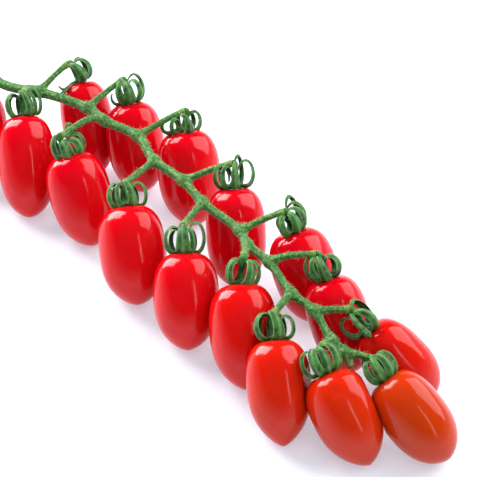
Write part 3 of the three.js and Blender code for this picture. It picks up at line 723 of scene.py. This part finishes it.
def rind_material(settings):
    """Green tomato stalk rind: living bark with fine hairs. It's matt, mottled lighter and darker, brown
    where it is dry, yellow-green at a swollen joint, and pale at the pith."""
    material, tree = new_material("hairy green rind")
    place = object_place(tree)
    blotch = noise(tree, place, 850.0, 4.0, 0.7)
    colour = ramp(
        tree, blotch, (0.36, opaque(settings.dark_green)), (0.64, opaque(settings.light_green)),
        (0.5, opaque(settings.green)),
    )
    for name, tint in (("youth", "#9bb04a"), ("dryness", "#8d7a52"), ("pith", "#c9cf9a")):
        colour = blended(tree, attribute(tree, name), colour, linear(tint))
    finish_material(tree, {
        "Base Color": colour, "Roughness": 0.6, "IOR": 1.33,
        "Sheen Weight": 0.18, "Sheen Roughness": 0.3, "Sheen Tint": linear("#f2e6bc"),
        "Normal": bumped(tree, blotch, 0.6, 0.0004),
    })
    return material


def leaf_material(settings):
    """Green sepal leaf: thick, matt and downy. Its midrib is paler than the blade, and its rims are painted
    paler as a painted rim highlight. Its inner face is painted darker as painted shade, and its tip dries
    brown."""
    material, tree = new_material("downy sepal leaf")
    place = object_place(tree)
    blotch = noise(tree, place, 420.0, 3.0, 0.6)
    colour = ramp(tree, blotch, (0.36, opaque(settings.dark_green)), (0.6, opaque(settings.green)))
    across = attribute(tree, "across")
    width = add_node(tree, "ShaderNodeMath", {0: across}, operation="ABSOLUTE").outputs["Value"]
    # The paler midrib and veins are the sepal's own colour; the pale band where across nears one, along the
    # rims, is a painted rim highlight.
    pale_midrib_and_painted_rim_highlight = [
        (position, (value, value, value, 1))
        for position, value in ((0.0, 0.25), (1.0, 0.5), (0.25, 0.08), (0.5, 0.0), (0.85, 0.04), (0.95, 0.35))
    ]
    colour = blended(tree, ramp(tree, width, *pale_midrib_and_painted_rim_highlight), colour, opaque(settings.light_green))
    # Painted shade: the inner face is darkened towards dark green, standing in for the shade inside the
    # curled sepals.
    colour = blended(tree, attribute(tree, "inner"), colour, opaque(settings.dark_green))
    colour = blended(tree, attribute(tree, "dryness"), colour, linear("#7d6a45"))
    finish_material(tree, {
        "Base Color": colour, "Roughness": 0.55, "IOR": 1.35,
        "Sheen Weight": 0.12, "Sheen Roughness": 0.3, "Sheen Tint": linear("#eef0c8"),
        "Normal": bumped(tree, blotch, 0.4, 0.0003),
    })
    return material


def hair_material(settings):
    """Plant hair: a pale, nearly clear fibre that catches the light. Hairs this fine would not show, so they
    are drawn about three times as thick as they grow, and their tint varies a little along the truss."""
    material = bpy.data.materials.get("clear plant hair")
    if material:
        return material
    material, tree = new_material("clear plant hair")
    place = object_place(tree)
    patch = noise(tree, place, 200.0, 1.0)
    tint = blended(tree, patch, opaque(settings.colour), opaque(settings.green_colour))
    finish_material(tree, {"Base Color": tint, "Roughness": 0.45, "IOR": 1.4})
    return material


def floor_material(settings):
    """White matt acrylic sheet, lit a little from below: it shows only the softest of shadows."""
    material, tree = new_material("white acrylic sheet")
    finish_material(tree, {
        "Base Color": opaque(settings.floor_colour), "Roughness": 0.7,
        "Emission Color": opaque(settings.glow_colour), "Emission Strength": settings.floor_glow,
    })
    return material


# Settings


def colour_setting(name, hex_colour, description):
    """A colour that the user can change, with a hex colour to start from."""
    return FloatVectorProperty(
        name=name, description=description, subtype="COLOR", size=3, min=0, max=1,
        default=linear(hex_colour)[:3],
    )


class FruitSettings(bpy.types.PropertyGroup):
    """The fruits' own shape and colours."""

    lobes: FloatProperty(
        name="Lobes", description="Height of a fruit's soft lobes, as a share of its radius",
        default=0.014, min=0, max=0.1,
    )
    unevenness: FloatProperty(
        name="Unevenness", description="Slow unevenness of a fruit, as a share of its radius",
        default=0.012, min=0, max=0.1,
    )
    orange: colour_setting("Orange", "#b83405", "Skin of the least ripe fruit")
    red: colour_setting("Red", "#cb1008", "Skin of a fruit that is turning deep red")
    deep_red: colour_setting("Deep red", "#cf0014", "Skin of a fully ripe fruit")


class StalkSettings(bpy.types.PropertyGroup):
    """The stalk's webs, relief and colours."""

    web: FloatProperty(
        name="Web", description="Softness in millimetres of the corner between stem and side stalk",
        default=0.8, min=0.1, max=3,
    )
    ribs: FloatProperty(
        name="Ribs", description="Height in millimetres of the ribs along the stem", default=0.1, min=0, max=1
    )
    green: colour_setting("Green", "#386d2f", "Rind of the stalk")
    dark_green: colour_setting("Dark green", "#2a5f2b", "Darker blotches of the rind")
    light_green: colour_setting("Light green", "#769f57", "Paler blotches of the rind")


class CalyxSettings(bpy.types.PropertyGroup):
    """The sepals' relief and colours."""

    rib: FloatProperty(
        name="Midrib", description="Height in millimetres of a sepal's midrib", default=0.22, min=0, max=1
    )
    roll: FloatProperty(
        name="Roll", description="How far a sepal's edges roll in, in millimetres", default=1.15, min=0, max=2
    )
    green: colour_setting("Green", "#397a34", "Outer face of a sepal")
    # Dark green is both the sepals' own darker blotches and the painted shade on their inner faces.
    dark_green: colour_setting("Dark green", "#143f1a", "Inner face and darker blotches")
    # Light green is the paler midrib and veins, and also the painted rim highlight along the sepals' edges.
    light_green: colour_setting("Light green", "#a9c884", "Midrib and rims")


class HairSettings(bpy.types.PropertyGroup):
    """The hairs on the green parts."""

    stalk_hairs: IntProperty(
        name="Stalk hairs", description="Number of hairs on the stalk", default=3400, min=0
    )
    calyx_hairs: IntProperty(
        name="Calyx hairs", description="Number of hairs on each calyx", default=160, min=0
    )
    length: FloatProperty(
        name="Length", description="Longest hair in millimetres", default=1.5, min=0.1, max=5
    )
    thickness: FloatProperty(
        name="Thickness", description="Thickness of a hair at its root in millimetres",
        default=0.1, min=0.01, max=1,
    )
    colour: colour_setting("Colour", "#eef0d2", "Pale hairs")
    green_colour: colour_setting("Green", "#8fae72", "Greener hairs")


class StudioSettings(bpy.types.PropertyGroup):
    """The floor, the lights and the camera."""

    floor_colour: colour_setting("Floor", "#c4c9d3", "White floor")
    glow_colour: colour_setting("Glow", "#eef4ff", "Colour of the floor's own light")
    floor_glow: FloatProperty(
        name="Floor glow", description="Light that the floor itself gives", default=0.42, min=0, max=2
    )
    camera_distance: FloatProperty(
        name="Camera distance", description="From the camera to the middle of the truss",
        default=0.63248, unit="LENGTH",
    )
    camera_azimuth: FloatProperty(
        name="Camera azimuth", description="Turn of the camera round the truss",
        default=float(np.radians(42)), subtype="ANGLE",
    )
    camera_height: FloatProperty(
        name="Camera elevation", description="How far the camera looks down",
        default=float(np.radians(42)), subtype="ANGLE",
    )
    focal_length: FloatProperty(
        name="Focal length", description="In millimetres, for a sensor 36 mm wide", default=112.65, min=1
    )


# Pieces


def finish_piece(piece, slot, *nodes):
    """The piece rides on the truss and stands for the nodes. Its slot is not used."""
    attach(piece, "root")
    if nodes:
        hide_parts(*nodes)


def laid_fruits(settings):
    """Every fruit's surface, share of the way to its tip, and middle."""
    return pressed_apart([fruit_surface(fruit, index, settings) for index, fruit in enumerate(FRUITS)])


class TRUSS_OT_fruits(bpy.types.Operator):
    """Makes the sixteen fruits"""

    bl_idname = "truss.fruits"
    bl_label = "Fruits"

    def execute(self, context):
        settings = context.scene.truss_fruits
        material = skin_material(settings)
        for number, fruit, (body, share, _) in zip(NUMBERS, FRUITS, laid_fruits(settings)):
            surface = Surface()
            ripeness = fruit["ripe"] + RIPENESS_FALL * (RIPENESS_PLACE - share)
            surface.add_tube(body[:, ::-1] + TRUSS_PLACE, ripeness=ripeness[:, ::-1], share=share[:, ::-1])
            finish_piece(surface.write(f"tomato_{number}", material), "ripe_skin", f"fruit_{number}")
        return {"FINISHED"}


def stalk_surfaces(settings):
    """The stem and side stalks as tubes that are settled on their grown-together surface, with relief: ribs
    along the stem by a cosine of the angle and two kinds of slow unevenness. Each tube comes with its line's
    run, which of its points are hidden inside another, and the ways outwards."""
    bars = [stem_bar(), *(side_stalk_bar(fruit) for fruit in FRUITS)]
    found = []
    for index, (line, run, radius) in enumerate(bars):
        points, around = tube(line, radius, STEM_SIDES if index == 0 else SIDE_STALK_SIDES)
        settled, hidden = settle(points.reshape(-1, 3), bars, settings.web)
        settled, hidden = settled.reshape(points.shape), hidden.reshape(points.shape[:2])
        outwards = unit(settled - line[:, None])
        drift = 1.5 * np.sin(run / 17.0 + index)[:, None]
        relief = settings.ribs * np.cos(STALK_RIB_COUNT * around[None] + drift)
        for height, size, seed in STALK_WAVES:
            relief = relief + height * ripple(settled, size, seed)
        settled = settled + outwards * np.where(hidden, 0, relief)[..., None]
        found.append((settled, run, hidden, outwards))
    return found


class TRUSS_OT_stalk(bpy.types.Operator):
    """Makes the stem with its side stalks"""

    bl_idname = "truss.stalk"
    bl_label = "Stalk"

    def execute(self, context):
        settings = context.scene.truss_stalk
        surface = Surface()
        for index, (points, run, _, _) in enumerate(stalk_surfaces(settings)):
            left = run[-1] - run
            if index == 0:  # the stem, dry at both ends, with a ring round the pith on its cut face
                middle = points[0].mean(axis=0)
                points = np.concatenate([(middle + (points[0] - middle) * PITH_SHARE)[None], points])
                dryness = np.append(0.1, 0.7 * np.exp(-run / 3.0) + 0.8 * np.exp(-left / 2.0))
                youth, pith = np.append(0, 0 * run), np.append(1, 0 * run)
            else:
                dryness, pith = 0 * run, 0 * run
                youth = 0.35 * np.exp(-((left / 2.2) ** 2))
            surface.add_tube(
                points + TRUSS_PLACE, dryness=dryness[:, None], youth=youth[:, None], pith=pith[:, None]
            )
        piece = surface.write("stem_and_side_stalks", rind_material(settings))
        finish_piece(piece, "stalk_rind", "stalk")
        return {"FINISHED"}


def calyx_parts(fruit, sepals, middle, settings):
    """The neck of a calyx as rings of points, and its sepals, each with its values. The calyx stands between
    the fruit's own axis and the way to the knuckle, and leans."""
    fruit_up = -axis_of(fruit)
    pole = middle + fruit_up * (fruit["long"] / 2)
    towards = unit(np.subtract(fruit["knuckle"], pole))
    up = unit(towards + CALYX_UPRIGHTNESS * fruit_up)
    lean = np.radians(fruit.get("lean", 0))
    up = unit(up - directions_around(up)[0] * np.tan(lean))
    left, front = directions_around(up)
    line, radius = neck_bar(fruit, pole, up)
    neck, _ = tube(line, radius, NECK_SIDES)
    foot = SEPAL_FOOT - fruit.get("drop", 0)
    blades = [sepal_blade(pole, up, left, front, sepal, foot, settings) for sepal in sepals]
    return neck, blades


def calyces(scene):
    """The number of each calyx with its parts."""
    laid = laid_fruits(scene.truss_fruits)
    for number, fruit, sepals, (_, _, middle) in zip(NUMBERS, FRUITS, SEPALS, laid):
        yield number, *calyx_parts(fruit, sepals, middle, scene.truss_calyces)


class TRUSS_OT_calyces(bpy.types.Operator):
    """Makes the calyx on each fruit"""

    bl_idname = "truss.calyces"
    bl_label = "Calyces"

    def execute(self, context):
        material = leaf_material(context.scene.truss_calyces)
        for number, neck, blades in calyces(context.scene):
            surface = Surface()
            surface.add_tube(neck + TRUSS_PLACE, across=0.5, inner=0.0, dryness=0.0)
            for points, across, share, outer in blades:
                # Each sepal's inner face carries a painted shade value, which darkens it in the leaf
                # material.
                surface.add_tube(
                    points + TRUSS_PLACE, across=across, inner=0.7 * (1 - outer),
                    dryness=0.8 * np.clip((share - 0.86) / 0.14, 0, 1),
                )
            finish_piece(surface.write(f"sepals_{number}", material), "sepal_leaf", f"calyx_{number}")
        return {"FINISHED"}


def spikes(roots, ways, lengths, thickness):
    """Hairs as closed three-sided spikes: three corners round each root, square to its way, and a tip."""
    first = unit(np.cross(ways, [0.31, 0.52, 0.79]))
    second = np.cross(ways, first)
    turns = np.arange(3) * 2 * np.pi / 3
    ring = first[:, None] * np.cos(turns)[None, :, None] + second[:, None] * np.sin(turns)[None, :, None]
    base = roots[:, None] + ring * thickness / 2
    tips = roots + ways * lengths[:, None]
    points = np.concatenate([base, tips[:, None]], axis=1).reshape(-1, 3)
    corners = np.array([[0, 1, 3], [1, 2, 3], [2, 0, 3], [0, 2, 1]])
    return points, (np.arange(len(roots))[:, None, None] * 4 + corners).reshape(-1, 3)


def hair_piece(name, roots, outwards, seed, settings, slot):
    """Hairs at the roots: each way is outwards with a random part, and each length is a random share of the
    longest, with more short ones."""
    rng = np.random.default_rng(seed)
    ways = unit(outwards + rng.normal(0, HAIR_SPRAY, roots.shape))
    shares = rng.random(len(roots)) ** HAIR_LENGTH_POWER
    lengths = settings.length * (SHORTEST_HAIR + (1 - SHORTEST_HAIR) * shares)
    surface = Surface()
    points, triangles = spikes(roots + TRUSS_PLACE, ways, lengths, settings.thickness)
    surface.points, surface.triangles, surface.count = [points], [triangles], len(points)
    finish_piece(surface.write(name, hair_material(settings)), slot)


class TRUSS_OT_hairs(bpy.types.Operator):
    """Makes the fine hairs on the stalk and the calyces"""

    bl_idname = "truss.hairs"
    bl_label = "Hairs"

    def execute(self, context):
        scene, settings = context.scene, context.scene.truss_hairs
        rng = np.random.default_rng(500)
        roots, outwards = [], []
        for points, _, hidden, ways in stalk_surfaces(scene.truss_stalk):
            open_to_air = ~hidden.ravel()
            roots.append(points.reshape(-1, 3)[open_to_air])
            outwards.append(ways.reshape(-1, 3)[open_to_air])
        roots, outwards = np.concatenate(roots), np.concatenate(outwards)
        chosen = rng.integers(0, len(roots), settings.stalk_hairs)
        hair_piece("stalk_hairs", roots[chosen], outwards[chosen], 501, settings, "stalk_rind")
        for index, (number, _, blades) in enumerate(calyces(scene)):
            points = np.concatenate([blade[0] for blade in blades])
            ways = unit(points - points.mean(axis=1, keepdims=True)).reshape(-1, 3)
            points = points.reshape(-1, 3)
            chosen = rng.integers(0, len(points), settings.calyx_hairs)
            name = f"sepal_hairs_{number}"
            hair_piece(name, points[chosen], ways[chosen], 510 + index, settings, "sepal_leaf")
        return {"FINISHED"}


class TRUSS_OT_stage(bpy.types.Operator):
    """Makes the floor, the lights and the camera"""

    bl_idname = "truss.stage"
    bl_label = "Stage"

    def execute(self, context):
        settings = context.scene.truss_studio
        scene = context.scene
        make_floor(settings)
        make_world(scene)
        make_lights()
        make_camera(scene, settings)
        scene.view_settings.view_transform = "Standard"
        return {"FINISHED"}


def make_floor(settings):
    """A wide flat square just under the truss."""
    half, depth = 4.0, -0.00015
    mesh = bpy.data.meshes.new("floor")
    corners = [(-half, -half, depth), (half, -half, depth), (half, half, depth), (-half, half, depth)]
    mesh.from_pydata(corners, [], [(0, 1, 2, 3)])
    mesh.materials.append(floor_material(settings))
    floor = bpy.data.objects.new("floor", mesh)
    bpy.context.scene.collection.objects.link(floor)


def make_world(scene):
    """White walls round the horizon that fade to a dim ceiling."""
    world = bpy.data.worlds.new("studio")
    world.use_nodes = True
    tree = world.node_tree
    tree.nodes.clear()
    way = add_node(tree, "ShaderNodeTexCoord").outputs["Generated"]
    height = add_node(tree, "ShaderNodeSeparateXYZ", {"Vector": way}).outputs["Z"]
    ramp = add_node(tree, "ShaderNodeValToRGB", {"Fac": height})
    stops = ramp.color_ramp.elements
    stops[0].position, stops[0].color = 0.12, (0.85, 0.88, 0.93, 1)
    stops[1].position, stops[1].color = 0.42, (0.03, 0.03, 0.035, 1)
    background = add_node(tree, "ShaderNodeBackground", {"Color": ramp.outputs["Color"], "Strength": 1.0})
    add_node(tree, "ShaderNodeOutputWorld", {"Surface": background.outputs["Background"]})
    scene.world = world


def make_lights():
    """Soft boxes: each has the azimuth and elevation that it shines from, its distance from the middle of
    the truss, its two sides and its power in watts. The overhead and the front fill light the truss but
    aren't mirrored in it, as the photo's even light from above isn't."""
    boxes = {
        "softbox_left": (-92, 31, 1.3, 0.72, 1.1, 34),
        "softbox_right": (160, 40, 1.3, 1.25, 1.15, 20),
        "strip_right": (80, 34, 1.3, 0.12, 0.8, 1.3),
        "overhead": (140, 66, 1.8, 2.6, 2.6, 20),
        "front_fill": (20, 52, 1.6, 1.8, 1.8, 8.5),
    }
    for name, (azimuth, elevation, distance, width, length, power) in boxes.items():
        turn, height = np.radians([azimuth, elevation])
        way = Vector((np.sin(turn) * np.cos(height), -np.cos(turn) * np.cos(height), np.sin(height)))
        light = bpy.data.lights.new(name, "AREA")
        light.shape = "RECTANGLE"
        light.size, light.size_y, light.energy = width, length, power
        lamp = bpy.data.objects.new(name, light)
        lamp.location = way * distance
        lamp.rotation_euler = (-way).to_track_quat("-Z", "Y").to_euler()
        bpy.context.scene.collection.objects.link(lamp)
        lamp.visible_glossy = name not in ("overhead", "front_fill")


def make_camera(scene, settings):
    """The camera of the photograph: it looks at a point on the floor near the middle of the truss."""
    target = Vector(TRUSS_PLACE * MM)
    turn, height = settings.camera_azimuth, settings.camera_height
    away = Vector((np.sin(turn) * np.cos(height), -np.cos(turn) * np.cos(height), np.sin(height)))
    camera = bpy.data.cameras.new("camera")
    camera.sensor_width, camera.lens = 36, settings.focal_length
    camera.clip_start, camera.clip_end = 0.01, 50
    seen = bpy.data.objects.new("camera", camera)
    seen.location = target + away * settings.camera_distance
    seen.rotation_euler = (-away).to_track_quat("-Z", "Y").to_euler()
    scene.collection.objects.link(seen)
    scene.camera = seen


class TRUSS_PT_panel(bpy.types.Panel):
    """Lists the operators and their settings"""

    bl_idname = "TRUSS_PT_panel"
    bl_label = "Tomato truss"
    bl_space_type = "VIEW_3D"
    bl_region_type = "UI"
    bl_category = "Truss"

    def draw(self, context):
        for operator, _, pointer in PARTS:
            self.layout.operator(operator.bl_idname)
            group = getattr(context.scene, pointer)
            for name in group.__annotations__:
                self.layout.prop(group, name)


PARTS = (
    (TRUSS_OT_fruits, FruitSettings, "truss_fruits"),
    (TRUSS_OT_stalk, StalkSettings, "truss_stalk"),
    (TRUSS_OT_calyces, CalyxSettings, "truss_calyces"),
    (TRUSS_OT_hairs, HairSettings, "truss_hairs"),
    (TRUSS_OT_stage, StudioSettings, "truss_studio"),
)


def register():
    """Makes the operators, the settings and the panel known to Blender."""
    for operator, group, pointer in PARTS:
        bpy.utils.register_class(operator)
        bpy.utils.register_class(group)
        setattr(bpy.types.Scene, pointer, PointerProperty(type=group))
    bpy.utils.register_class(TRUSS_PT_panel)


def unregister():
    """Takes them out again."""
    bpy.utils.unregister_class(TRUSS_PT_panel)
    for operator, group, pointer in reversed(PARTS):
        delattr(bpy.types.Scene, pointer)
        bpy.utils.unregister_class(group)
        bpy.utils.unregister_class(operator)


def main():
    """Makes every piece and the stage."""
    register()
    bpy.ops.truss.fruits()
    bpy.ops.truss.stalk()
    bpy.ops.truss.calyces()
    bpy.ops.truss.hairs()
    bpy.ops.truss.stage()


if __name__ == "__main__":
    main()
